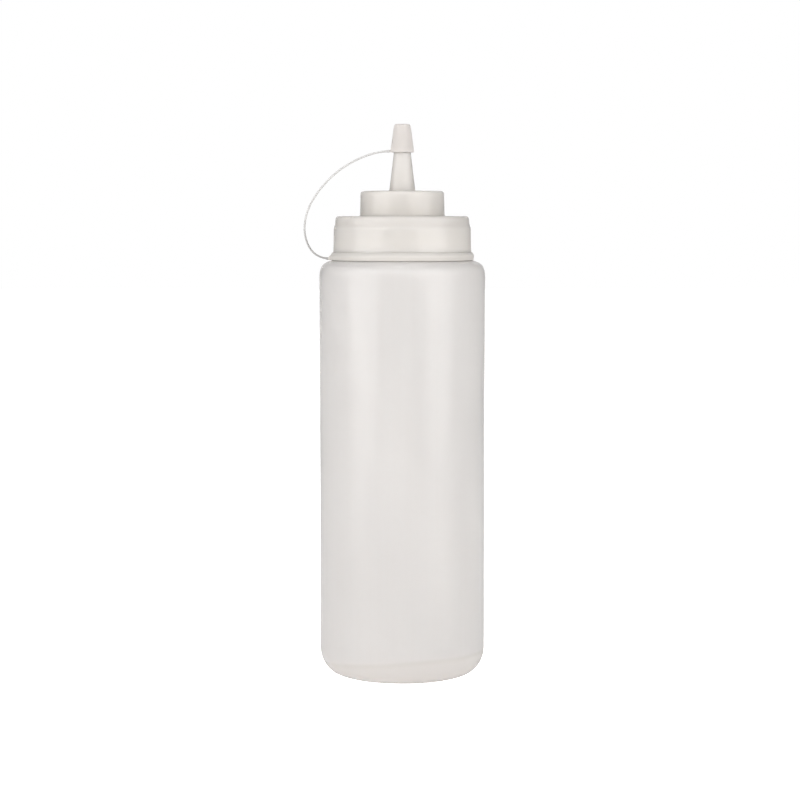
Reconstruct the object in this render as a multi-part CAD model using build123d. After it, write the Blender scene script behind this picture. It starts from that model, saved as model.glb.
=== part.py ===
from build123d import *
import math
import os

# Wide-mouth squeeze bottle with a stepped screw cap, a cone nozzle and a tethered tip cap.
# Millimetres. +Z is up along the bottle's axis, and the origin is the centre of the base on the surface it stands on.
# The tether lies in the XZ plane on the -X side.

os.makedirs("parts", exist_ok=True)

# ---------------------------------------------------------------- driving dimensions
BODY_R_TOP = 40.0        # outside radius just under the shoulder
BODY_R_MID = 39.73       # slight waist half way up
BODY_R_HEEL = 39.96      # outside radius just above the heel
WALL = 1.25              # blow-moulded wall
HEEL_IN = 9.0            # the heel's reach inwards
HEEL_UP = 12.1           # the heel's reach upwards
HEEL_POWER = 1.9         # the heel is a superellipse
FOOT_R_IN = 28.0         # inside edge of the flat ring that the bottle stands on
PUSH_UP = 5.4            # height of the pushed-up base at its centre
SHOULDER_Z = 200.6       # flat of the shoulder, at the foot of the neck
RIM_Z = 219.0            # top of the neck
NECK_R = 29.8            # root of the neck's thread
BORE_R = 28.1            # bore of the neck

PITCH = 4.233            # six turns to the inch
THREAD_OUT_R = 31.2      # crest of the neck's thread
THREAD_OUT_Z = 208.4     # lower end of the neck's thread, at its middle
THREAD_OUT_TURNS = 1.7
THREAD_START = 20        # angle of the neck thread's lower end
THREAD_IN_R = 30.15      # crest of the cap's thread
THREAD_IN_TURNS = 1.45
THREAD_BASE_W = 2.1      # width of either thread at its root
THREAD_CREST_W = 0.8     # width of either thread at its crest
THREAD_DROP = 1.47       # the cap's thread sits this far below the neck's, flank to flank

SKIRT_IN_R = 31.65       # inside of the cap's skirt
SHOULDER_IN_R = 30.35    # inside of the skirt's thicker top, over the threads
SHOULDER_IN_Z = (216.95, 217.55)
GRIP_R_FOOT = 33.32      # grip band, with a little draft
GRIP_R_TOP = 33.03
COLLAR_R = 32.2          # plain collar over the grip band
GRIP_TOP_Z = 216.9
PANEL_Z = 221.7          # flat top of the skirt
PANEL_T = 1.4
FOOT_Z = 200.95          # lowest edge of the cap
LAND_R = 32.70           # land that the tether ring turns on
LAND_Z = (201.90, 203.85)
BEAD_R = 33.38           # bead that holds the tether ring on
STEP_R_FOOT = 20.38
STEP_R_TOP = 20.12
STEP_TOP_Z = 233.7
STEP_WALL = 1.35
NOZZLE_R_FOOT = 6.24     # nozzle's outside at z = 234
NOZZLE_SLOPE = 0.1205    # radius lost per millimetre of height
NOZZLE_TIP_Z = 262.9
NOZZLE_WALL = 1.25
ORIFICE_R = 1.5
PLUG_R = (26.7, 27.6)    # lip inside the cap that centres on the neck's bore
PLUG_Z = 217.3

SEAL_R = (27.75, 30.25)
SEAL_Z = (219.06, 220.24)

RING_IN_R = 32.76
RING_OUT_R = 34.6
RING_Z = (201.98, 203.74)
HEM_R, HEM_Z = 33.50, 200.68  # hem that hangs from the ring outside the bead
LIP_R, LIP_Z = (33.42, 33.70), 204.35  # thin lip that covers the joint with the grip band
LUG = (1.9, 2.2, 1.35)   # lug on the ring: reach, width and height

TIP_R_RIM = 5.56         # tip cap's outside at its rim
TIP_R_TOP = 4.06
TIP_RIM_Z = 252.2
TIP_TOP_Z = 265.8
TIP_GAP = 0.08           # between the tip cap and the nozzle's cone

TETHER_D = 0.9
# Route of the tether's middle, from the ring's lug to the tip cap's lug, as (x, z) in the plane y = 0.
TETHER_ROUTE = [
    (-35.60, 201.30),
    (-41.74, 201.85),
    (-47.61, 212.09),
    (-46.36, 224.05),
    (-40.39, 234.18),
    (-32.37, 242.59),
    (-22.35, 248.86),
    (-11.35, 252.65),
    (-6.30, 252.80),
]


# ---------------------------------------------------------------- helpers
def heel_point(t):
    """Point of the heel's superellipse and its outward normal, t from 0 at the foot to 1 at the wall."""
    a = t * math.pi / 2
    p = 2.0 / HEEL_POWER
    s, c = math.sin(a), math.cos(a)
    x = BODY_R_HEEL - HEEL_IN + HEEL_IN * s ** p
    z = HEEL_UP - HEEL_UP * c ** p
    return x, z


def offset_points(points, distance):
    """Moves each inner point of an open polyline to its left by a distance, using its neighbours' direction."""
    moved = []
    for i in range(1, len(points) - 1):
        (x0, z0), (x1, z1) = points[i - 1], points[i + 1]
        dx, dz = x1 - x0, z1 - z0
        n = math.hypot(dx, dz)
        x, z = points[i]
        moved.append((x - dz / n * distance, z + dx / n * distance))
    return moved


def xz(points):
    return [(x, 0, z) for x, z in points]


def revolve_wire(edges):
    return revolve(make_face(Wire(edges)), Axis.Z, 360)


def thread(r_root, r_crest, z_start, turns, start_angle):
    """One right-hand trapezoidal ridge on a helix, as a solid that starts at r_root."""
    path = Helix(pitch=PITCH, height=PITCH * turns, radius=r_root)
    plane = Plane(origin=path @ 0, x_dir=(1, 0, 0), z_dir=path % 0)
    depth = r_crest - r_root
    section = plane * make_face(
        Polyline(
            (0, -THREAD_BASE_W / 2),
            (depth, -THREAD_CREST_W / 2),
            (depth, THREAD_CREST_W / 2),
            (0, THREAD_BASE_W / 2),
            close=True,
        )
    )
    ridge = sweep(section, path=path, is_frenet=True)
    return Rot(0, 0, start_angle) * Pos(0, 0, z_start) * ridge


# ---------------------------------------------------------------- bottle body
heel = [heel_point(i / 8) for i in range(9)]
fine = [heel_point(i / 400) for i in range(401)]
foot_r_out = heel[0][0]
base_arc = [(0.0, PUSH_UP), (11.5, PUSH_UP - 0.28), (22.0, PUSH_UP - 1.15)]

wall_pts = [(BODY_R_HEEL, HEEL_UP), (39.82, 60.0), (BODY_R_MID, 108.0), (39.86, 152.0), (BODY_R_TOP, 190.0)]
shoulder = [(BODY_R_TOP, 190.0), (39.97, 193.0), (39.5, 196.1), (38.83, 197.6), (37.48, 198.95), (35.6, 199.9), (33.6, 200.42), (31.6, SHOULDER_Z)]

outer = [
    Spline(*xz(base_arc), tangents=[(1, 0, 0), (1, 0, -0.22)]),
    Spline(*xz([(22.0, PUSH_UP - 1.15), (25.4, 2.2), (FOOT_R_IN, 0.0)]), tangents=[(1, 0, -0.22), (1, 0, -0.12)]),
    Line((FOOT_R_IN, 0, 0), (foot_r_out, 0, 0)),
    Spline(*xz(heel), tangents=[(1, 0, 0), (0, 0, 1)]),
    Spline(*xz(wall_pts), tangents=[(0, 0, 1), (0, 0, 1)]),
    Spline(*xz(shoulder), tangents=[(0, 0, 1), (-1, 0, 0.04)]),
    Line((31.6, 0, SHOULDER_Z), (NECK_R + 0.8, 0, SHOULDER_Z)),
    ThreePointArc((NECK_R + 0.8, 0, SHOULDER_Z), (NECK_R + 0.234, 0, SHOULDER_Z + 0.234), (NECK_R, 0, SHOULDER_Z + 0.8)),
    Line((NECK_R, 0, SHOULDER_Z + 0.8), (NECK_R, 0, RIM_Z - 0.35)),
    Line((NECK_R, 0, RIM_Z - 0.35), (NECK_R - 0.35, 0, RIM_Z)),
    Line((NECK_R - 0.35, 0, RIM_Z), (BORE_R + 0.3, 0, RIM_Z)),
    Line((BORE_R + 0.3, 0, RIM_Z), (BORE_R, 0, RIM_Z - 0.3)),
]
inner_heel = [(foot_r_out, WALL)] + [fine_pt for fine_pt in offset_points(fine, WALL)[49::50]][:7] + [(BODY_R_HEEL - WALL, HEEL_UP)]
inner_wall = [(x - WALL, z) for x, z in wall_pts]
inner_shoulder = [(BODY_R_TOP - WALL, 190.0), (38.72, 192.8), (38.3, 195.4), (37.75, 196.7), (36.75, 197.75), (35.15, 198.55), (33.4, 199.05), (31.4, SHOULDER_Z - WALL - 0.1)]
z_in = SHOULDER_Z - WALL - 0.1
inner = [
    Line((BORE_R, 0, RIM_Z - 0.3), (BORE_R, 0, z_in + 1.2)),
    ThreePointArc((BORE_R, 0, z_in + 1.2), (BORE_R + 0.351, 0, z_in + 0.351), (BORE_R + 1.2, 0, z_in)),
    Line((BORE_R + 1.2, 0, z_in), (31.4, 0, z_in)),
    Spline(*xz(inner_shoulder[::-1]), tangents=[(1, 0, -0.04), (0, 0, -1)]),
    Spline(*xz(inner_wall[::-1]), tangents=[(0, 0, -1), (0, 0, -1)]),
    Spline(*xz(inner_heel[::-1]), tangents=[(0, 0, -1), (-1, 0, 0)]),
    Line((foot_r_out, 0, WALL), (FOOT_R_IN + 0.5, 0, WALL)),
    Spline(*xz([(FOOT_R_IN + 0.5, WALL), (26.2, 3.25), (22.3, PUSH_UP - 1.15 + 1.4)]), tangents=[(-1, 0, 0.12), (-1, 0, 0.22)]),
    Spline((22.3, 0, PUSH_UP - 1.15 + 1.4), (11.5, 0, PUSH_UP - 0.28 + 1.45), (0, 0, PUSH_UP + 1.5), tangents=[(-1, 0, 0.22), (-1, 0, 0)]),
    Line((0, 0, PUSH_UP + 1.5), (0, 0, PUSH_UP)),
]
bottle = revolve_wire(outer + inner)
neck_thread = thread(NECK_R - 0.35, THREAD_OUT_R, THREAD_OUT_Z, THREAD_OUT_TURNS, THREAD_START)
bottle = bottle + neck_thread


# ---------------------------------------------------------------- screw cap
def nozzle_r(z):
    return NOZZLE_R_FOOT - NOZZLE_SLOPE * (z - 234.0)


def bore_r(z):
    return ORIFICE_R + NOZZLE_SLOPE * (NOZZLE_TIP_Z - z)


panel_in = PANEL_Z - PANEL_T
step_in_r = STEP_R_TOP - STEP_WALL
cap_edges = [
    # foot, bead and land
    Line((SKIRT_IN_R, 0, FOOT_Z + 0.25), (SKIRT_IN_R + 0.25, 0, FOOT_Z)),
    Line((SKIRT_IN_R + 0.25, 0, FOOT_Z), (32.55, 0, FOOT_Z)),
    Line((32.55, 0, FOOT_Z), (BEAD_R, 0, FOOT_Z + 0.42)),
    Line((BEAD_R, 0, FOOT_Z + 0.42), (BEAD_R, 0, LAND_Z[0] - 0.18)),
    Line((BEAD_R, 0, LAND_Z[0] - 0.18), (LAND_R, 0, LAND_Z[0])),
    Line((LAND_R, 0, LAND_Z[0]), (LAND_R, 0, LAND_Z[1])),
    Line((LAND_R, 0, LAND_Z[1]), (GRIP_R_FOOT - 0.15, 0, LAND_Z[1])),
    Line((GRIP_R_FOOT - 0.15, 0, LAND_Z[1]), (GRIP_R_FOOT, 0, LAND_Z[1] + 0.15)),
    # grip band, step and plain collar
    Line((GRIP_R_FOOT, 0, LAND_Z[1] + 0.15), (GRIP_R_TOP, 0, GRIP_TOP_Z - 0.25)),
    ThreePointArc((GRIP_R_TOP, 0, GRIP_TOP_Z - 0.25), (GRIP_R_TOP - 0.08, 0, GRIP_TOP_Z - 0.07), (GRIP_R_TOP - 0.27, 0, GRIP_TOP_Z)),
    Line((GRIP_R_TOP - 0.27, 0, GRIP_TOP_Z), (COLLAR_R + 0.3, 0, GRIP_TOP_Z + 0.12)),
    ThreePointArc((COLLAR_R + 0.3, 0, GRIP_TOP_Z + 0.12), (COLLAR_R + 0.09, 0, GRIP_TOP_Z + 0.21), (COLLAR_R, 0, GRIP_TOP_Z + 0.42)),
    Line((COLLAR_R, 0, GRIP_TOP_Z + 0.42), (COLLAR_R - 0.06, 0, PANEL_Z - 1.7)),
    ThreePointArc((COLLAR_R - 0.06, 0, PANEL_Z - 1.7), (COLLAR_R - 0.06 - 0.498, 0, PANEL_Z - 0.498), (COLLAR_R - 1.76, 0, PANEL_Z)),
    # flat top of the skirt and the stepped top
    Line((COLLAR_R - 1.76, 0, PANEL_Z), (STEP_R_FOOT + 0.5, 0, PANEL_Z)),
    ThreePointArc((STEP_R_FOOT + 0.5, 0, PANEL_Z), (STEP_R_FOOT + 0.146, 0, PANEL_Z + 0.146), (STEP_R_FOOT, 0, PANEL_Z + 0.5)),
    Line((STEP_R_FOOT, 0, PANEL_Z + 0.5), (STEP_R_TOP, 0, STEP_TOP_Z - 1.5)),
    ThreePointArc((STEP_R_TOP, 0, STEP_TOP_Z - 1.5), (STEP_R_TOP - 0.44, 0, STEP_TOP_Z - 0.44), (STEP_R_TOP - 1.5, 0, STEP_TOP_Z)),
    Line((STEP_R_TOP - 1.5, 0, STEP_TOP_Z), (7.1, 0, STEP_TOP_Z)),
    # cone nozzle
    ThreePointArc((7.1, 0, STEP_TOP_Z), (6.4, 0, STEP_TOP_Z + 0.22), (nozzle_r(STEP_TOP_Z + 0.8), 0, STEP_TOP_Z + 0.8)),
    Line((nozzle_r(STEP_TOP_Z + 0.8), 0, STEP_TOP_Z + 0.8), (nozzle_r(NOZZLE_TIP_Z - 0.4), 0, NOZZLE_TIP_Z - 0.4)),
    ThreePointArc(
        (nozzle_r(NOZZLE_TIP_Z - 0.4), 0, NOZZLE_TIP_Z - 0.4),
        (nozzle_r(NOZZLE_TIP_Z) - 0.13, 0, NOZZLE_TIP_Z - 0.12),
        (nozzle_r(NOZZLE_TIP_Z) - 0.42, 0, NOZZLE_TIP_Z),
    ),
    Line((nozzle_r(NOZZLE_TIP_Z) - 0.42, 0, NOZZLE_TIP_Z), (ORIFICE_R, 0, NOZZLE_TIP_Z)),
    # down the bore and out along the inside
    Line((ORIFICE_R, 0, NOZZLE_TIP_Z), (bore_r(234.0), 0, 234.0)),
    ThreePointArc((bore_r(234.0), 0, 234.0), (bore_r(234.0) + 0.5, 0, 232.85), (bore_r(234.0) + 1.6, 0, STEP_TOP_Z - STEP_WALL)),
    Line((bore_r(234.0) + 1.6, 0, STEP_TOP_Z - STEP_WALL), (step_in_r - 0.9, 0, STEP_TOP_Z - STEP_WALL)),
    ThreePointArc(
        (step_in_r - 0.9, 0, STEP_TOP_Z - STEP_WALL),
        (step_in_r - 0.264, 0, STEP_TOP_Z - STEP_WALL - 0.264),
        (step_in_r, 0, STEP_TOP_Z - STEP_WALL - 0.9),
    ),
    Line((step_in_r, 0, STEP_TOP_Z - STEP_WALL - 0.9), (step_in_r + 0.2, 0, panel_in)),
    Line((step_in_r + 0.2, 0, panel_in), (PLUG_R[0] - 0.15, 0, panel_in)),
    # plug lip and the seal's pocket
    Line((PLUG_R[0] - 0.15, 0, panel_in), (PLUG_R[0] + 0.15, 0, PLUG_Z)),
    Line((PLUG_R[0] + 0.15, 0, PLUG_Z), (PLUG_R[1] - 0.3, 0, PLUG_Z)),
    Line((PLUG_R[1] - 0.3, 0, PLUG_Z), (PLUG_R[1], 0, PLUG_Z + 0.5)),
    Line((PLUG_R[1], 0, PLUG_Z + 0.5), (PLUG_R[1], 0, panel_in)),
    Line((PLUG_R[1], 0, panel_in), (SHOULDER_IN_R, 0, panel_in)),
    Line((SHOULDER_IN_R, 0, panel_in), (SHOULDER_IN_R, 0, SHOULDER_IN_Z[1])),
    Line((SHOULDER_IN_R, 0, SHOULDER_IN_Z[1]), (SKIRT_IN_R, 0, SHOULDER_IN_Z[0])),
    Line((SKIRT_IN_R, 0, SHOULDER_IN_Z[0]), (SKIRT_IN_R, 0, FOOT_Z + 0.25)),
]
cap = revolve_wire(cap_edges)
# The cap's thread starts a quarter turn below the neck's and lies just under it all the way.
cap_thread_z = THREAD_OUT_Z - THREAD_DROP - PITCH * 0.25
cap_thread = thread(SKIRT_IN_R + 0.35, THREAD_IN_R, cap_thread_z, THREAD_IN_TURNS, THREAD_START - 90)
cap = cap + cap_thread

# ---------------------------------------------------------------- seal ring
seal = revolve_wire(
    [
        Line((SEAL_R[0], 0, SEAL_Z[0]), (SEAL_R[1], 0, SEAL_Z[0])),
        Line((SEAL_R[1], 0, SEAL_Z[0]), (SEAL_R[1], 0, SEAL_Z[1])),
        Line((SEAL_R[1], 0, SEAL_Z[1]), (SEAL_R[0], 0, SEAL_Z[1])),
        Line((SEAL_R[0], 0, SEAL_Z[1]), (SEAL_R[0], 0, SEAL_Z[0])),
    ]
)

# ---------------------------------------------------------------- tether ring, with the lug that the tether grows from
z0, z1 = RING_Z
ring = revolve_wire(
    [
        Line((RING_IN_R, 0, z0 + 0.1), (RING_IN_R + 0.1, 0, z0)),
        Line((RING_IN_R + 0.1, 0, z0), (HEM_R, 0, z0)),
        Line((HEM_R, 0, z0), (HEM_R, 0, HEM_Z + 0.12)),
        Line((HEM_R, 0, HEM_Z + 0.12), (HEM_R + 0.12, 0, HEM_Z)),
        Line((HEM_R + 0.12, 0, HEM_Z), (HEM_R + 0.27, 0, HEM_Z)),
        ThreePointArc((HEM_R + 0.27, 0, HEM_Z), (RING_OUT_R - 0.24, 0, z0 - 0.15), (RING_OUT_R, 0, z0 + 0.75)),
        Line((RING_OUT_R, 0, z0 + 0.75), (RING_OUT_R - 0.12, 0, z0 + 1.05)),
        Line((RING_OUT_R - 0.12, 0, z0 + 1.05), (LIP_R[1], 0, LIP_Z)),
        Line((LIP_R[1], 0, LIP_Z), (LIP_R[0], 0, LIP_Z)),
        Line((LIP_R[0], 0, LIP_Z), (LIP_R[0], 0, z1)),
        Line((LIP_R[0], 0, z1), (RING_IN_R, 0, z1)),
        Line((RING_IN_R, 0, z1), (RING_IN_R, 0, z0 + 0.1)),
    ]
)
tx, tz = TETHER_ROUTE[0]
ring_lug = Pos(tx + LUG[0] / 2, 0, tz - TETHER_D / 2 + LUG[2] / 2) * Box(*LUG)
ring_lug = fillet(ring_lug.edges().filter_by(Axis.Z).group_by(Axis.X)[0], 0.5)
ring = ring + ring_lug

# ---------------------------------------------------------------- tip cap, with its lug
tip_in_top = NOZZLE_TIP_Z + 0.35


def tip_in_r(z):
    return nozzle_r(z) + TIP_GAP


tip = revolve_wire(
    [
        Line((tip_in_r(TIP_RIM_Z + 0.3), 0, TIP_RIM_Z + 0.3), (tip_in_r(TIP_RIM_Z) + 0.3, 0, TIP_RIM_Z)),
        Line((tip_in_r(TIP_RIM_Z) + 0.3, 0, TIP_RIM_Z), (TIP_R_RIM - 0.3, 0, TIP_RIM_Z)),
        ThreePointArc((TIP_R_RIM - 0.3, 0, TIP_RIM_Z), (TIP_R_RIM - 0.09, 0, TIP_RIM_Z + 0.09), (TIP_R_RIM, 0, TIP_RIM_Z + 0.3)),
        Line((TIP_R_RIM, 0, TIP_RIM_Z + 0.3), (TIP_R_RIM - 0.04, 0, TIP_RIM_Z + 1.6)),
        Line((TIP_R_RIM - 0.04, 0, TIP_RIM_Z + 1.6), (TIP_R_TOP, 0, TIP_TOP_Z - 1.9)),
        Spline(
            (TIP_R_TOP, 0, TIP_TOP_Z - 1.9),
            (TIP_R_TOP - 0.42, 0, TIP_TOP_Z - 0.72),
            (TIP_R_TOP - 1.9, 0, TIP_TOP_Z - 0.06),
            tangents=[(-0.11, 0, 1), (-1, 0, 0.05)],
        ),
        Line((TIP_R_TOP - 1.9, 0, TIP_TOP_Z - 0.06), (0, 0, TIP_TOP_Z)),
        Line((0, 0, TIP_TOP_Z), (0, 0, tip_in_top)),
        Line((0, 0, tip_in_top), (tip_in_r(NOZZLE_TIP_Z) - 0.35, 0, tip_in_top)),
        Line((tip_in_r(NOZZLE_TIP_Z) - 0.35, 0, tip_in_top), (tip_in_r(NOZZLE_TIP_Z), 0, NOZZLE_TIP_Z - 0.1)),
        Line((tip_in_r(NOZZLE_TIP_Z), 0, NOZZLE_TIP_Z - 0.1), (tip_in_r(TIP_RIM_Z + 0.3), 0, TIP_RIM_Z + 0.3)),
    ]
)
ex, ez = TETHER_ROUTE[-1]
last = Vector(ex - TETHER_ROUTE[-2][0], 0, ez - TETHER_ROUTE[-2][1]).normalized()
tip_boss = Plane(origin=(ex, 0, ez), z_dir=last) * extrude(make_face(Circle(TETHER_D / 2 + 0.12).edges()), 1.2)
tip = tip + tip_boss

# ---------------------------------------------------------------- tether
points = [(x, 0, z) for x, z in TETHER_ROUTE]
radii = []
for i in range(1, len(points) - 1):
    a = Vector(*points[i]) - Vector(*points[i - 1])
    b = Vector(*points[i + 1]) - Vector(*points[i])
    turn = math.radians(a.get_angle(b))
    radii.append(0.45 * min(a.length, b.length) / math.tan(turn / 2))
route = FilletPolyline(*points, radius=radii)
tether = sweep(Plane(origin=points[0], z_dir=route % 0) * Circle(TETHER_D / 2), path=route)
print("tether radii", [round(r, 1) for r in radii])
print("tether length", round(route.length, 2), "volume ratio", round(tether.volume / (route.length * math.pi * TETHER_D**2 / 4), 4))

for name, shape in {
    "bottle_body": bottle,
    "screw_cap": cap,
    "seal_ring": seal,
    "tether_ring": ring,
    "tip_cap": tip,
    "tether": tether,
}.items():
    solids = shape.solids()
    print(name, "solids", len(solids), "valid", all(s.is_valid for s in solids), "volume", round(shape.volume, 1))
    export_step(shape, f"parts/{name}.step")
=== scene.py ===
"""Looks of a wide-mouth squeeze bottle with a stepped screw cap, a cone nozzle and a tethered tip cap.

Every length is in metres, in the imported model's own frame: +Z up the bottle's axis, origin at the centre of the base.
"""

import math

import bpy
import numpy as np
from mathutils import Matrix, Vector


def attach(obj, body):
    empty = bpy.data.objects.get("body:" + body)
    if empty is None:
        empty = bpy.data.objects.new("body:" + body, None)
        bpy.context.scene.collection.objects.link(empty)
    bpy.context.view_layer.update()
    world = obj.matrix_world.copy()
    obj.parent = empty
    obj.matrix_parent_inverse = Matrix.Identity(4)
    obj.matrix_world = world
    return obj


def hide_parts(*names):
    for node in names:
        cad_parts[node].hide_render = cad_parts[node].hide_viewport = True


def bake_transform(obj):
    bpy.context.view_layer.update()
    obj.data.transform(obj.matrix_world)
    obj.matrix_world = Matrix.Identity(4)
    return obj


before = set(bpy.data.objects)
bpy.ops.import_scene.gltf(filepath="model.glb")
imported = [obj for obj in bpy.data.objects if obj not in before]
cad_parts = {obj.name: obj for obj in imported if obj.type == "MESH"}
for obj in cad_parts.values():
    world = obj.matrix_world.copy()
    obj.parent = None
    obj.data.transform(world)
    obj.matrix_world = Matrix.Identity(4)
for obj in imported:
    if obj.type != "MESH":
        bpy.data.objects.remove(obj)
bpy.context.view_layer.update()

MM = 0.001


# ------------------------------------------------------------------ profile helpers
def curve_through(points, count, start=None, end=None):
    """A smooth line through points (r, z), with chosen directions at its ends."""
    p = np.array(points, float)
    chord = np.linalg.norm(np.diff(p, axis=0), axis=1)
    t = np.concatenate([[0.0], np.cumsum(chord)])
    m = np.zeros_like(p)
    for i in range(1, len(p) - 1):
        a = (p[i] - p[i - 1]) / chord[i - 1]
        b = (p[i + 1] - p[i]) / chord[i]
        m[i] = (a * chord[i] + b * chord[i - 1]) / (chord[i] + chord[i - 1])
    m[0] = (p[1] - p[0]) / chord[0] if start is None else np.array(start, float) / np.linalg.norm(start)
    m[-1] = (p[-1] - p[-2]) / chord[-1] if end is None else np.array(end, float) / np.linalg.norm(end)
    out = []
    for s in np.linspace(0, t[-1], count):
        i = min(int(np.searchsorted(t, s, side="right")) - 1, len(p) - 2)
        h = chord[i]
        u = (s - t[i]) / h
        out.append(
            (2 * u**3 - 3 * u**2 + 1) * p[i]
            + (u**3 - 2 * u**2 + u) * h * m[i]
            + (-2 * u**3 + 3 * u**2) * p[i + 1]
            + (u**3 - u**2) * h * m[i + 1]
        )
    return [tuple(q) for q in out]


def line(a, b, step):
    """Points from a to b, at most step apart, without the last one."""
    n = max(1, math.ceil(math.dist(a, b) / step))
    return [(a[0] + (b[0] - a[0]) * i / n, a[1] + (b[1] - a[1]) * i / n) for i in range(n)]


def rounded(corners, step=2.0, closed=False):
    """A polyline (r, z, radius) with each corner rounded by its radius, as evenly stepped points."""
    n = len(corners)
    out = []
    ends = []
    for i, (r, z, rad) in enumerate(corners):
        if not closed and i in (0, n - 1) or rad <= 0:
            ends.append(((r, z), [(r, z)], (r, z)))
            continue
        a = np.array(corners[(i - 1) % n][:2], float)
        b = np.array((r, z), float)
        c = np.array(corners[(i + 1) % n][:2], float)
        u, v = (a - b) / np.linalg.norm(a - b), (c - b) / np.linalg.norm(c - b)
        turn = math.pi - math.acos(max(-1.0, min(1.0, float(u @ v))))
        if turn < 1e-4:
            ends.append(((r, z), [(r, z)], (r, z)))
            continue
        cut = min(rad * math.tan(turn / 2), 0.49 * np.linalg.norm(a - b), 0.49 * np.linalg.norm(c - b))
        rad = cut / math.tan(turn / 2)
        centre = b + (u + v) / np.linalg.norm(u + v) * math.hypot(rad, cut)
        start, stop = b + u * cut, b + v * cut
        k = max(3, math.ceil(turn / math.radians(13)))
        a0 = math.atan2(*(start - centre)[::-1])
        a1 = math.atan2(*(stop - centre)[::-1])
        d = (a1 - a0 + math.pi) % (2 * math.pi) - math.pi
        arc = [tuple(centre + rad * np.array((math.cos(a0 + d * j / k), math.sin(a0 + d * j / k)))) for j in range(k + 1)]
        ends.append((tuple(start), arc, tuple(stop)))
    for i, (_, arc, stop) in enumerate(ends):
        out += arc
        if closed or i < n - 1:
            out += line(stop, ends[(i + 1) % n][0], step)[1:]
    return out


def smooth(x, low, high):
    """0 below low, 1 above high, and a smooth step between."""
    u = np.clip((x - low) / (high - low), 0, 1)
    return u * u * (3 - 2 * u)


def angles_with(count, dense=()):
    """Angles round the axis: count even ones, and more near some. dense holds (angle, reach, step) in degrees."""
    even = set(np.round(np.linspace(0, 360, count, endpoint=False), 5))
    for centre, reach, step in dense:
        even = {a for a in even if abs((a - centre + 180) % 360 - 180) > reach + 0.3 * 360 / count}
        k = round(reach / step)
        even |= {round(float((centre + step * i) % 360), 5) for i in range(-k, k + 1)}
    return np.radians(np.array(sorted(even)))


def lathe(name, profile, angles, shape=None, closed=False, sharp=38):
    """Turns a profile (r, z) in millimetres round the axis. shape(r, z, angle, row) may change r and z."""
    prof = np.array(profile, float)
    keep = [0] + [i for i in range(1, len(prof)) if np.linalg.norm(prof[i] - prof[i - 1]) > 1e-4]
    prof = prof[keep]
    r = np.repeat(prof[:, :1], len(angles), 1)
    z = np.repeat(prof[:, 1:], len(angles), 1)
    a = np.repeat(angles[None, :], len(prof), 0)
    if shape is not None:
        r, z = shape(r.copy(), z.copy(), a, np.arange(len(prof))[:, None] * np.ones_like(a))
    rows, cols = r.shape
    co = np.stack([r * np.cos(a), r * np.sin(a), z], -1).reshape(-1, 3) * MM
    poles = [] if closed else [i for i in (0, rows - 1) if prof[i, 0] < 1e-6]
    verts, index = [], -np.ones((rows, cols), int)
    for i in range(rows):
        if i in poles:
            index[i, :] = len(verts)
            verts.append((0.0, 0.0, float(z[i, 0]) * MM))
        else:
            index[i, :] = np.arange(len(verts), len(verts) + cols)
            verts.extend(map(tuple, co[i * cols : (i + 1) * cols]))
    faces = []
    for i in range(rows if closed else rows - 1):
        top, low = index[(i + 1) % rows], index[i]
        for j in range(cols):
            k = (j + 1) % cols
            face = [int(low[j]), int(low[k]), int(top[k]), int(top[j])]
            face = list(dict.fromkeys(face))
            if len(face) > 2:
                faces.append(face)
    # the faces look outwards when the profile runs anticlockwise, with r to the right and z up
    nxt = np.roll(prof, -1, 0)
    if float((prof[:, 0] * nxt[:, 1] - nxt[:, 0] * prof[:, 1]).sum()) < 0:
        faces = [face[::-1] for face in faces]
    me = bpy.data.meshes.new(name)
    me.from_pydata(verts, [], faces)
    me.validate()
    me.polygons.foreach_set("use_smooth", np.ones(len(me.polygons), bool))
    me.set_sharp_from_angle(angle=math.radians(sharp))
    me.update()
    o = bpy.data.objects.new(name, me)
    bpy.context.scene.collection.objects.link(o)
    return o


# ------------------------------------------------------------------ sizes, in millimetres
R_TOP, R_MID, R_HEEL, WALL = 40.0, 39.73, 39.96, 1.25
HEEL_IN, HEEL_UP, HEEL_POWER, FOOT_R, PUSH = 9.0, 12.1, 1.9, 28.0, 5.4
SHOULDER, RIM, NECK_R, BORE_R = 200.6, 219.0, 29.8, 28.1
PITCH, START = 4.233, math.radians(20)
THREAD_OUT_R, THREAD_OUT_Z, TURNS_OUT = 31.2, 208.4, 1.7
THREAD_IN_R, TURNS_IN, DROP = 30.15, 1.45, 1.47
SKIRT_IN, BAND_IN = 31.65, 31.1
TIP_Z, SLOPE = 262.9, 0.1205


def nozzle_r(z):
    return 6.24 - SLOPE * (z - 234.0)


def ridge(angle, z, z_start, turns, start, base_w=2.1, crest_w=0.8, fade=math.radians(14)):
    """How far up a right-hand thread's flank each point is, from 0 at the root to 1 at the crest."""
    out = np.zeros_like(z)
    lead = (angle - start) % (2 * math.pi)
    for turn in range(math.ceil(turns) + 1):
        t = lead + 2 * math.pi * turn
        off = np.abs(z - (z_start + PITCH * t / (2 * math.pi)))
        up = np.clip((base_w / 2 - off) / ((base_w - crest_w) / 2), 0, 1)
        up = np.clip(up * 1.04 - 0.02, 0, 1)
        ends = np.clip(t / fade, 0, 1) * np.clip((2 * math.pi * turns - t) / fade, 0, 1)
        out = np.maximum(out, up * np.sqrt(np.clip(ends, 0, 1)))
    return out


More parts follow.
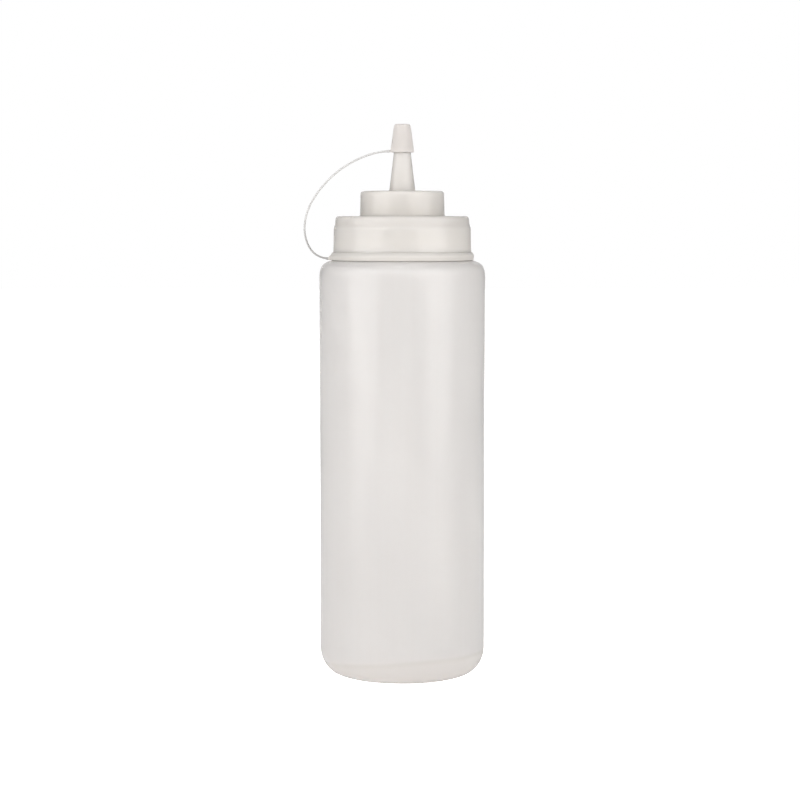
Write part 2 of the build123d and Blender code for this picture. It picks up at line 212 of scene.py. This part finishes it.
# ------------------------------------------------------------------ bottle body
heel = []
for i in range(27):
    t = i / 26 * math.pi / 2
    p = 2.0 / HEEL_POWER
    heel.append((R_HEEL - HEEL_IN + HEEL_IN * math.sin(t) ** p, HEEL_UP - HEEL_UP * math.cos(t) ** p))
heel_in = []
for i in range(1, 26):
    (x0, z0), (x1, z1) = heel[i - 1], heel[i + 1]
    n = math.hypot(x1 - x0, z1 - z0)
    heel_in.append((heel[i][0] - (z1 - z0) / n * WALL, heel[i][1] + (x1 - x0) / n * WALL))
foot_out = heel[0][0]
wall_pts = [(R_HEEL, HEEL_UP), (39.82, 60.0), (R_MID, 108.0), (39.86, 152.0), (R_TOP, 190.0)]
shoulder_pts = [(R_TOP, 190.0), (39.97, 193.0), (39.5, 196.1), (38.83, 197.6), (37.48, 198.95), (35.6, 199.9), (33.6, 200.42), (31.6, SHOULDER)]
z_in = SHOULDER - WALL - 0.1
shoulder_in = [(R_TOP - WALL, 190.0), (38.72, 192.8), (38.3, 195.4), (37.75, 196.7), (36.75, 197.75), (35.15, 198.55), (33.4, 199.05), (31.4, z_in)]
outside = (
    curve_through([(0, PUSH), (11.5, PUSH - 0.28), (22.0, PUSH - 1.15)], 34, (1, 0), (1, -0.22))[:-1]
    + curve_through([(22.0, PUSH - 1.15), (25.4, 2.2), (FOOT_R, 0.0)], 12, (1, -0.22), (1, -0.12))
    + [(28.9, 0.0), (30.0, 0.0)]
    + heel[:-1]
    + curve_through(wall_pts, 62, (0, 1), (0, 1))[:-1]
    + curve_through(shoulder_pts, 26, (0, 1), (-1, 0.04))
    + rounded([(31.5, SHOULDER, 0), (NECK_R, SHOULDER, 0.8), (NECK_R, 206.6, 0)], 1.6)
    + line((NECK_R, 206.8), (NECK_R, 217.4), 0.19)
    + rounded([(NECK_R, 217.4, 0), (NECK_R, RIM, 0.5), (BORE_R, RIM, 0.4), (BORE_R, 210.0, 0)], 1.2)
)
inside = (
    line((BORE_R, 209.0), (BORE_R, z_in + 1.6), 1.6)
    + rounded([(BORE_R, z_in + 1.5, 0), (BORE_R, z_in, 1.2), (31.3, z_in, 0)], 1.0)
    + curve_through(shoulder_in[::-1], 22, (1, -0.04), (0, -1))[:-1]
    + curve_through([(x - WALL, z) for x, z in wall_pts[::-1]], 46, (0, -1), (0, -1))
    + heel_in[::-1]
    + [(30.0, WALL), (28.9, WALL)]
    + curve_through([(FOOT_R + 0.5, WALL), (26.2, 3.25), (22.3, PUSH + 0.25)], 10, (-1, 0.12), (-1, 0.22))[:-1]
    + curve_through([(22.3, PUSH + 0.25), (11.5, PUSH + 1.17), (0, PUSH + 1.5)], 22, (-1, 0.22), (-1, 0))
)
n_out = len(outside)


def bottle_shape(r, z, a, row):
    outer = row < n_out
    # neck thread
    up = ridge(a, z, THREAD_OUT_Z, TURNS_OUT, START) * (outer & (np.abs(r - NECK_R) < 0.02))
    # the soft wall is never quite round or straight: a slow lean in and out, more in the middle of its height
    free = smooth(z, 14, 60) * (1 - smooth(z, 150, 192)) * (r > 36)
    wave = 0.10 * np.cos(2 * a + 0.7) + 0.05 * np.cos(3 * a + z * 0.021) + 0.035 * np.sin(z * 0.083 + 1.3 * np.cos(a))
    r = r + free * wave
    # wall thickness varies inside, thicker low down and beside the mould's parting line
    inner = (~outer) & (r > 30) & (z < 199)
    uneven = 0.13 * np.sin(4 * a + z * 0.045) + 0.08 * np.sin(7 * a - z * 0.03 + 1.0) + 0.10 * np.cos(2 * a)
    r = r - inner * smooth(z, 6, 24) * (1 - smooth(z, 180, 196)) * np.abs(uneven)
    # parting line of the two mould halves, up both sides
    side = np.minimum(np.abs((a + math.pi) % (2 * math.pi) - math.pi), np.abs(a - math.pi))
    arc = side * np.maximum(r, 1.0)
    seam = np.exp(-((arc / 0.16) ** 2)) * outer
    r = r + 0.055 * seam * (r > FOOT_R) * (z > 1.2) * (z < SHOULDER - 0.3)
    # pinched tail of the parison across the pushed-up base
    across = np.abs(r * np.sin(a))
    bar = (1 - smooth(across, 0.35, 1.05)) * (1 - smooth(r, 17.5, 20.5)) * outer * (z < 7)
    z = z - 0.42 * bar
    r = r + up * (THREAD_OUT_R - NECK_R)
    return r, z


bottle = lathe(
    "bottle_shell",
    outside + inside,
    angles_with(216, [(0, 0.8, 0.2), (180, 0.8, 0.2)]),
    bottle_shape,
)
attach(bottle, "bottle")
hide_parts("bottle_body")

# ------------------------------------------------------------------ screw cap
FOOT_Z, LAND_R, BEAD_R = 200.95, 32.70, 33.38
PANEL, PANEL_T, STEP_TOP, STEP_WALL = 221.7, 1.4, 233.7, 1.35
panel_in, step_in = PANEL - PANEL_T, 20.12 - STEP_WALL


def bore_r(z):
    return 1.5 + SLOPE * (TIP_Z - z)


cap_out = rounded(
    [
        (SKIRT_IN, FOOT_Z + 2.0, 0),
        (SKIRT_IN, FOOT_Z, 0.25),
        (32.55, FOOT_Z, 0.3),
        (BEAD_R, FOOT_Z + 0.42, 0.25),
        (BEAD_R, 201.75, 0.15),
        (LAND_R, 201.9, 0.12),
        (LAND_R, 203.85, 0.12),
        (33.32, 203.85, 0.16),
        (33.21, 208.4, 0),
        (33.08, 215.9, 5.0),
        (32.38, 217.85, 5.0),
        (32.12, PANEL, 1.7),
        (20.38, PANEL, 0.7),
        (20.12, STEP_TOP, 1.5),
        (6.30, STEP_TOP, 0.85),
        (nozzle_r(TIP_Z), TIP_Z, 0.42),
        (1.5, TIP_Z, 0.16),
        (bore_r(233.2), 233.2, 0.6),
        (bore_r(233.2) + 1.1, STEP_TOP - STEP_WALL, 0.7),
        (step_in, STEP_TOP - STEP_WALL, 0.9),
        (step_in + 0.2, panel_in, 0.3),
        (26.55, panel_in, 0.3),
        (26.85, 217.3, 0.15),
        (27.6, 217.3, 0.35),
        (27.6, panel_in, 0.15),
        (BAND_IN, panel_in, 0.25),
        (BAND_IN, 217.55, 0.12),
        (SKIRT_IN, 216.95, 0.12),
        (SKIRT_IN, 215.2, 0),
    ],
    2.2,
)
cap_profile = cap_out + line((SKIRT_IN, 215.0), (SKIRT_IN, 204.2), 0.19) + [(SKIRT_IN, 203.6)]
cap_z = THREAD_OUT_Z - DROP - PITCH * 0.25


def cap_shape(r, z, a, row):
    up = ridge(a, z, cap_z, TURNS_IN, START - math.pi / 2) * (np.abs(r - SKIRT_IN) < 0.02) * (z < 215.1) * (z > 203.5)
    # sink marks: the top face draws in a little over the step's wall and round the nozzle's root
    flat = np.abs(z - STEP_TOP) < 0.02
    z = z - flat * 0.10 * np.exp(-(((r - 9.5) / 2.2) ** 2))
    flat = np.abs(z - PANEL) < 0.02
    z = z - flat * 0.07 * np.exp(-(((r - 24.0) / 1.8) ** 2))
    # the skirt shrinks in very slightly at mid height
    grip = (r > 32.9) & (z > 204.2) & (z < 216.6)
    r = r - grip * 0.045 * np.sin((z - 204.2) / 12.4 * math.pi)
    r = r + grip * 0.03 * np.cos(2 * a + 1.1)
    return r - up * (SKIRT_IN - THREAD_IN_R), z


cap = lathe("cap_shell", cap_profile, angles_with(216), cap_shape, closed=True, sharp=50)
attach(cap, "cap")
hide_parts("screw_cap")

# ------------------------------------------------------------------ seal ring
seal = lathe(
    "seal_washer",
    rounded([(27.75, 219.06, 0.2), (30.25, 219.06, 0.2), (30.25, 220.24, 0.2), (27.75, 220.24, 0.2)], 0.8, closed=True),
    angles_with(160),
    lambda r, z, a, row: (r, z - 0.0 * a),
    closed=True,
    sharp=60,
)
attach(seal, "seal")
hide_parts("seal_ring")

# ------------------------------------------------------------------ tether ring, with its lug grown out of it
RING_IN, RING_OUT, RING_LOW, RING_HIGH = 32.76, 34.6, 201.98, 203.74
HEM_IN, HEM_LOW, HEM_OUT = 33.50, 200.50, 34.34
LIP_IN, LIP_OUT, LIP_TOP = 33.37, 33.70, 204.35


def ring_shape(r, z, a, row):
    y = np.abs(r * np.sin(a))
    near = (np.cos(a) < 0) * (1 - smooth(y, 0.75, 1.75))
    low = 1 - smooth(z, 202.0, 203.1)
    out = smooth(r, 33.5, 34.35)
    r = r + near * low * out * (35.68 - r)
    return r, z


ring = lathe(
    "tether_ring_loop",
    rounded(
        [
            (RING_IN, RING_LOW, 0.12),
            (HEM_IN, RING_LOW, 0.08),
            (HEM_IN, HEM_LOW, 0.12),
            (HEM_OUT, HEM_LOW + 0.04, 0.12),
            (34.50, 201.7, 0.8),
            (RING_OUT, 202.5, 0.5),
            (RING_OUT, 202.95, 0.4),
            (LIP_OUT, LIP_TOP, 0.05),
            (LIP_IN, LIP_TOP, 0.05),
            (LIP_IN, RING_HIGH, 0.05),
            (RING_IN, RING_HIGH, 0.12),
        ],
        0.13,
        closed=True,
    ),
    angles_with(180, [(180, 4.2, 0.15)]),
    ring_shape,
    closed=True,
    sharp=60,
)
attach(ring, "ring")
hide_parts("tether_ring")

# ------------------------------------------------------------------ tip cap, with its lug
TIP_RIM, TIP_TOP, GAP = 252.2, 265.8, 0.08


def tip_in(z):
    return nozzle_r(z) + GAP


def tip_shape(r, z, a, row):
    y = np.abs(r * np.sin(a))
    near = (np.cos(a) < 0) * (1 - smooth(y, 0.35, 0.85))
    low = 1 - smooth(np.abs(z - 252.78), 0.35, 0.75)
    r = r + near * low * smooth(r, 5.3, 5.5) * 0.86
    return r, z


tip = lathe(
    "tip_cap_shell",
    [(0.0, TIP_TOP)]
    + rounded([(0.4, TIP_TOP - 0.005, 0), (3.93, TIP_TOP - 0.07, 1.35), (5.52, 253.9, 0), (5.56, 253.5, 0)], 0.35)[:-1]
    + rounded([(5.56, 253.4, 0), (5.56, TIP_RIM, 0.3), (tip_in(TIP_RIM), TIP_RIM, 0.25), (tip_in(254.5), 254.5, 0)], 0.14)
    + rounded([(tip_in(255.5), 255.5, 0), (tip_in(TIP_Z), TIP_Z + 0.1, 0.3), (2.0, TIP_Z + 0.35, 0.3), (0.5, TIP_Z + 0.35, 0)], 1.0)
    + [(0.0, TIP_Z + 0.35)],
    angles_with(120, [(180, 10.5, 0.75)]),
    tip_shape,
    sharp=50,
)
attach(tip, "tip")
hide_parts("tip_cap")

# ------------------------------------------------------------------ tether
TETHER_D = 0.9
ROUTE = [
    (-35.60, 201.30),
    (-42.10, 201.72),
    (-47.70, 212.07),
    (-46.28, 224.10),
    (-40.28, 234.12),
    (-32.22, 242.56),
    (-22.30, 248.92),
    (-11.35, 252.65),
    (-6.30, 252.80),
]
route = bpy.data.curves.new("tether_route", "CURVE")
route.dimensions = "3D"
route.resolution_u = 14
spline = route.splines.new("NURBS")
spline.points.add(len(ROUTE) - 1)
for point, (x, z) in zip(spline.points, ROUTE):
    point.co = (x * MM, 0.0, z * MM, 1.0)
spline.order_u = 3
spline.use_endpoint_u = True
route_object = bpy.data.objects.new("tether_route", route)
bpy.context.scene.collection.objects.link(route_object)
bpy.context.view_layer.update()
path_mesh = bpy.data.meshes.new_from_object(route_object)
path = np.array([v.co for v in path_mesh.vertices], float)
bpy.data.objects.remove(route_object)
if np.linalg.norm(path[0] - np.array((-0.0356, 0, 0.2013))) > np.linalg.norm(path[-1] - np.array((-0.0356, 0, 0.2013))):
    path = path[::-1]
along = np.concatenate([[0.0], np.cumsum(np.linalg.norm(np.diff(path, axis=0), axis=1))])
tether_length = float(along[-1])

sides = 14
verts, faces = [], []
up = Vector((0, 1, 0))
for i, point in enumerate(path):
    ahead = path[min(i + 1, len(path) - 1)] - path[max(i - 1, 0)]
    t = Vector(ahead).normalized()
    n = t.cross(up).normalized()
    from_end = min(along[i], tether_length - along[i]) / MM
    # the moulded filament swells where it grows out of each lug
    rad = (TETHER_D / 2 + 0.24 * math.exp(-((from_end / 1.1) ** 2)) + 0.012 * math.sin(along[i] / MM * 0.9)) * MM
    for k in range(sides):
        a = 2 * math.pi * k / sides
        verts.append(Vector(point) + (n * math.cos(a) + up * math.sin(a)) * rad)
for i in range(len(path) - 1):
    for k in range(sides):
        m = (k + 1) % sides
        faces.append([i * sides + k, (i + 1) * sides + k, (i + 1) * sides + m, i * sides + m])
faces.append([k for k in range(sides)])
faces.append([(len(path) - 1) * sides + k for k in range(sides)][::-1])
me = bpy.data.meshes.new("tether_filament")
me.from_pydata(verts, [], faces)
me.validate()
me.polygons.foreach_set("use_smooth", np.ones(len(me.polygons), bool))
me.set_sharp_from_angle(angle=math.radians(60))
tether = bpy.data.objects.new("tether_filament", me)
bpy.context.scene.collection.objects.link(tether)
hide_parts("tether")
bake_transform(tether)


# ------------------------------------------------------------------ materials
def plastic(
    name,
    light,
    dark,
    rough,
    scatter,
    through,
    cloud=22.0,
    streak=(420.0, 420.0, 9.0),
    streak_mix=0.35,
    grain=2600.0,
    grain_height=0.0000025,
    streak_height=0.0000035,
    specular=0.5,
    painted_floor_shade=None,
    shade_band=None,
):
    """Milky polyethylene: cloudy colour, faint draw lines, a satin grain, light that scatters in it and some that
    passes, and, when asked, painted shade low down or over a band of height.
    """
    m = bpy.data.materials.new(name)
    m.use_nodes = True
    nt = m.node_tree
    p = nt.nodes["Principled BSDF"]
    coord = nt.nodes.new("ShaderNodeTexCoord")

    def noise(scale, detail, roughness, mapping=None):
        n = nt.nodes.new("ShaderNodeTexNoise")
        n.inputs["Scale"].default_value = scale
        n.inputs["Detail"].default_value = detail
        n.inputs["Roughness"].default_value = roughness
        if mapping is not None:
            mp = nt.nodes.new("ShaderNodeMapping")
            mp.inputs["Scale"].default_value = mapping
            nt.links.new(coord.outputs["Object"], mp.inputs["Vector"])
            nt.links.new(mp.outputs["Vector"], n.inputs["Vector"])
        else:
            nt.links.new(coord.outputs["Object"], n.inputs["Vector"])
        return n

    clouds = noise(cloud, 4.0, 0.55)
    lines = noise(1.0, 1.5, 0.5, streak)
    fine = noise(grain, 2.0, 0.5)

    both = nt.nodes.new("ShaderNodeMix")
    both.data_type = "FLOAT"
    both.inputs["Factor"].default_value = streak_mix
    nt.links.new(clouds.outputs["Fac"], both.inputs["A"])
    nt.links.new(lines.outputs["Fac"], both.inputs["B"])
    ramp = nt.nodes.new("ShaderNodeValToRGB")
    ramp.color_ramp.elements[0].position = 0.28
    ramp.color_ramp.elements[0].color = (*dark, 1)
    ramp.color_ramp.elements[1].position = 0.72
    ramp.color_ramp.elements[1].color = (*light, 1)
    nt.links.new(both.outputs["Result"], ramp.inputs["Fac"])
    colour = ramp.outputs["Color"]
    if painted_floor_shade is not None:
        # painted shade: the thick floor seen through the wall, drawn as a darker, warmer foot with a darker line along
        # its wavy upper edge
        level, wave, sag, lean, foot_shade_colour, edge_shade_colour = painted_floor_shade
        place = nt.nodes.new("ShaderNodeSeparateXYZ")
        nt.links.new(coord.outputs["Object"], place.inputs["Vector"])
        slow = noise(1.0, 1.0, 0.5, (26.0, 26.0, 0.0))
        # the floor's edge leans from one side to the other and sags towards both, as x * (sag * x - lean)
        bow = nt.nodes.new("ShaderNodeMath")
        bow.operation = "MULTIPLY_ADD"
        bow.inputs[1].default_value = sag
        bow.inputs[2].default_value = -lean
        nt.links.new(place.outputs["X"], bow.inputs[0])
        tilted = nt.nodes.new("ShaderNodeMath")
        tilted.operation = "MULTIPLY_ADD"
        nt.links.new(bow.outputs["Value"], tilted.inputs[0])
        nt.links.new(place.outputs["X"], tilted.inputs[1])
        nt.links.new(place.outputs["Z"], tilted.inputs[2])
        lift = nt.nodes.new("ShaderNodeMath")
        lift.operation = "MULTIPLY_ADD"
        lift.inputs[1].default_value = -wave
        nt.links.new(slow.outputs["Fac"], lift.inputs[0])
        nt.links.new(tilted.outputs["Value"], lift.inputs[2])

        def edge(low, high):
            e = nt.nodes.new("ShaderNodeMapRange")
            e.interpolation_type = "SMOOTHSTEP"
            e.inputs["From Min"].default_value = low
            e.inputs["From Max"].default_value = high
            e.inputs["To Min"].default_value = 1.0
            e.inputs["To Max"].default_value = 0.0
            nt.links.new(lift.outputs["Value"], e.inputs["Value"])
            return e.outputs["Result"]

        for low, high, tone in ((level - 0.0004, level + 0.0014, edge_shade_colour), (level - 0.0026, level - 0.0006, foot_shade_colour)):
            mix = nt.nodes.new("ShaderNodeMix")
            mix.data_type = "RGBA"
            mix.blend_type = "MIX"
            nt.links.new(edge(low, high), mix.inputs["Factor"])
            nt.links.new(colour, mix.inputs["A"])
            mix.inputs["B"].default_value = (*tone, 1)
            colour = mix.outputs["Result"]
    if shade_band is not None:
        # painted shade: a darker tone over a band of height, from start to end; on the cap it lies over the double wall
        # round the top of the skirt
        start, full, fade, end, tone = shade_band
        height = nt.nodes.new("ShaderNodeSeparateXYZ")
        nt.links.new(coord.outputs["Object"], height.inputs["Vector"])
        sides = []
        for low, high, first, last in ((start, full, 0.0, 1.0), (fade, end, 1.0, 0.0)):
            e = nt.nodes.new("ShaderNodeMapRange")
            e.interpolation_type = "SMOOTHSTEP"
            e.inputs["From Min"].default_value = low
            e.inputs["From Max"].default_value = high
            e.inputs["To Min"].default_value = first
            e.inputs["To Max"].default_value = last
            nt.links.new(height.outputs["Z"], e.inputs["Value"])
            sides.append(e)
        within = nt.nodes.new("ShaderNodeMath")
        within.operation = "MULTIPLY"
        nt.links.new(sides[0].outputs["Result"], within.inputs[0])
        nt.links.new(sides[1].outputs["Result"], within.inputs[1])
        mix = nt.nodes.new("ShaderNodeMix")
        mix.data_type = "RGBA"
        nt.links.new(within.outputs["Value"], mix.inputs["Factor"])
        nt.links.new(colour, mix.inputs["A"])
        mix.inputs["B"].default_value = (*tone, 1)
        colour = mix.outputs["Result"]
    nt.links.new(colour, p.inputs["Base Color"])

    spread = nt.nodes.new("ShaderNodeMapRange")
    spread.inputs["From Min"].default_value = 0.3
    spread.inputs["From Max"].default_value = 0.7
    spread.inputs["To Min"].default_value = rough - 0.03
    spread.inputs["To Max"].default_value = rough + 0.04
    nt.links.new(lines.outputs["Fac"], spread.inputs["Value"])
    nt.links.new(spread.outputs["Result"], p.inputs["Roughness"])

    bump_lines = nt.nodes.new("ShaderNodeBump")
    bump_lines.inputs["Strength"].default_value = 0.6
    bump_lines.inputs["Distance"].default_value = streak_height
    nt.links.new(lines.outputs["Fac"], bump_lines.inputs["Height"])
    bump_fine = nt.nodes.new("ShaderNodeBump")
    bump_fine.inputs["Strength"].default_value = 0.5
    bump_fine.inputs["Distance"].default_value = grain_height
    nt.links.new(fine.outputs["Fac"], bump_fine.inputs["Height"])
    nt.links.new(bump_lines.outputs["Normal"], bump_fine.inputs["Normal"])
    nt.links.new(bump_fine.outputs["Normal"], p.inputs["Normal"])

    p.inputs["IOR"].default_value = 1.5
    p.inputs["Specular IOR Level"].default_value = specular
    p.inputs["Subsurface Weight"].default_value = scatter
    p.inputs["Subsurface Radius"].default_value = (1.0, 1.0, 1.0)
    p.inputs["Subsurface Scale"].default_value = 0.004
    p.inputs["Transmission Weight"].default_value = through
    return m


body_plastic = plastic(
    "ldpe_body",
    (0.99, 0.92, 0.89),
    (0.97, 0.895, 0.86),
    0.22,
    1.0,
    0.25,
    # painted shade of the thick floor seen through the wall, low down on the body
    painted_floor_shade=(0.01045, 0.0015, 1.6, 0.070, (0.92, 0.865, 0.82), (0.90, 0.84, 0.79)),
)
# painted shade: a deeper tone over the top of the skirt, from 215 to 222 mm
cap_plastic = plastic("ldpe_cap", (0.915, 0.872, 0.815), (0.895, 0.848, 0.78), 0.17, 1.0, 0.25, cloud=38.0, streak=(110.0, 110.0, 160.0), streak_mix=0.25, streak_height=0.000003, shade_band=(0.2150, 0.2180, 0.2212, 0.2222, (0.885, 0.835, 0.775)))
# painted shade: the ring is the cap's milky plastic in a much darker tone with little scattering, standing in for the
# light it loses
ring_plastic = plastic("ldpe_ring", (0.61, 0.597, 0.568), (0.595, 0.58, 0.55), 0.36, 0.2, 0.0, cloud=45.0, streak=(110.0, 110.0, 160.0), streak_mix=0.25, streak_height=0.000003, specular=0.35)
# painted shade: the tether is the cap's milky plastic in a much darker grey, darker still below about 208 mm and fading
# out by 224 mm
tether_plastic = plastic("ldpe_tether", (0.60, 0.60, 0.595), (0.58, 0.578, 0.573), 0.5, 0.0, 0.0, cloud=60.0, streak=(120.0, 120.0, 120.0), streak_mix=0.3, grain_height=0.0, streak_height=0.0, specular=0.05, shade_band=(-1.0, -0.9, 0.2080, 0.2240, (0.455, 0.453, 0.449)))
# painted shade: the tip cap is the cap's milky plastic in a darker tone, standing in for the light it loses
tip_plastic = plastic("ldpe_tip", (0.69, 0.66, 0.635), (0.665, 0.635, 0.605), 0.48, 1.0, 0.10, specular=0.2, cloud=90.0, streak=(300.0, 300.0, 90.0), streak_mix=0.3, streak_height=0.000002)
seal_rubber = plastic("silicone_seal", (0.86, 0.86, 0.84), (0.80, 0.80, 0.78), 0.62, 0.4, 0.0, cloud=80.0, streak=(90.0, 90.0, 500.0), streak_mix=0.4, grain=3800.0)

for piece, material in ((bottle, body_plastic), (cap, cap_plastic), (seal, seal_rubber), (ring, ring_plastic), (tether, tether_plastic), (tip, tip_plastic)):
    piece.data.materials.clear()
    piece.data.materials.append(material)

# ------------------------------------------------------------------ floor, light and camera
ROOM, FLOOR_LIFT = 0.16, 0.80
BOX_L, BOX_R, BACK_L, FRONT_L, SUN_E = 2.45, 2.35, 0.54, 1.18, 0.2
floor_mesh = bpy.data.meshes.new("floor")
s = 6.0
floor_mesh.from_pydata([(-s, -s, 0), (s, -s, 0), (s, s, 0), (-s, s, 0)], [], [[0, 1, 2, 3]])
floor = bpy.data.objects.new("floor", floor_mesh)
bpy.context.scene.collection.objects.link(floor)
floor.location = (0, 0, -0.0001)
fm = bpy.data.materials.new("floor")
fm.use_nodes = True
fp = fm.node_tree.nodes["Principled BSDF"]
fp.inputs["Base Color"].default_value = (0.92, 0.92, 0.92, 1)
fp.inputs["Roughness"].default_value = 0.9
fp.inputs["Specular IOR Level"].default_value = 0.2
fp.inputs["Emission Color"].default_value = (1, 1, 1, 1)
seen = fm.node_tree.nodes.new("ShaderNodeLightPath")
gain = fm.node_tree.nodes.new("ShaderNodeMath")
gain.inputs[1].default_value = FLOOR_LIFT
fm.node_tree.links.new(seen.outputs["Is Camera Ray"], gain.inputs[0])
gain.operation = "MULTIPLY_ADD"
gain.inputs[2].default_value = 0.2
fm.node_tree.links.new(gain.outputs["Value"], fp.inputs["Emission Strength"])
floor.data.materials.append(fm)

world = bpy.data.worlds.new("studio")
bpy.context.scene.world = world
world.use_nodes = True
wt = world.node_tree
wt.nodes["Background"].inputs["Color"].default_value = (1.0, 1.0, 1.0, 1)
path_kind = wt.nodes.new("ShaderNodeLightPath")
level = wt.nodes.new("ShaderNodeMapRange")
level.inputs["To Min"].default_value = ROOM
level.inputs["To Max"].default_value = 1.0
wt.links.new(path_kind.outputs["Is Camera Ray"], level.inputs["Value"])
wt.links.new(level.outputs["Result"], wt.nodes["Background"].inputs["Strength"])


def softbox(name, azimuth, distance, low, high, width, radiance, tint=(1.0, 0.974, 0.964)):
    """A soft panel that stands round the object. Azimuth 0 is on the camera's side and 90 to its right."""
    a = math.radians(azimuth)
    place = Vector((math.sin(a) * distance, -math.cos(a) * distance, (low + high) / 2))
    data = bpy.data.lights.new(name, "AREA")
    data.shape = "RECTANGLE"
    data.size, data.size_y = width, high - low
    data.energy = math.pi * width * (high - low) * radiance
    data.color = tint
    o = bpy.data.objects.new(name, data)
    bpy.context.scene.collection.objects.link(o)
    o.location = place
    o.rotation_mode = "QUATERNION"
    o.rotation_quaternion = Vector((-place.x, -place.y, 0)).to_track_quat("-Z", "Z")
    o.visible_camera = False
    return o


softbox("box_left", -55, 0.95, 0.05, 1.10, 1.14, BOX_L)
softbox("box_right", 48, 0.95, 0.05, 1.10, 1.20, BOX_R)
softbox("backdrop", 180, 1.20, 0.02, 1.00, 0.90, BACK_L)
softbox("box_front", 0, 1.40, 0.40, 1.30, 1.10, FRONT_L)
overhead = bpy.data.lights.new("overhead", "SUN")
overhead.energy, overhead.angle = SUN_E, math.radians(20)
overhead_object = bpy.data.objects.new("overhead", overhead)
bpy.context.scene.collection.objects.link(overhead_object)
overhead_object.location = (0, 0, 2)

camera_data = bpy.data.cameras.new("camera")
camera = bpy.data.objects.new("camera", camera_data)
bpy.context.scene.collection.objects.link(camera)
camera_data.sensor_width = 36.0
camera_data.lens = 97.71
camera_data.clip_start, camera_data.clip_end = 0.05, 30.0
camera.location = (-0.0011, -1.05, 0.2191)
aim = Vector((-0.0011, 0.0, 0.1328))
camera.rotation_mode = "QUATERNION"
camera.rotation_quaternion = (aim - camera.location).to_track_quat("-Z", "Y")
bpy.context.scene.camera = camera
bpy.context.scene.view_settings.view_transform = "Standard"
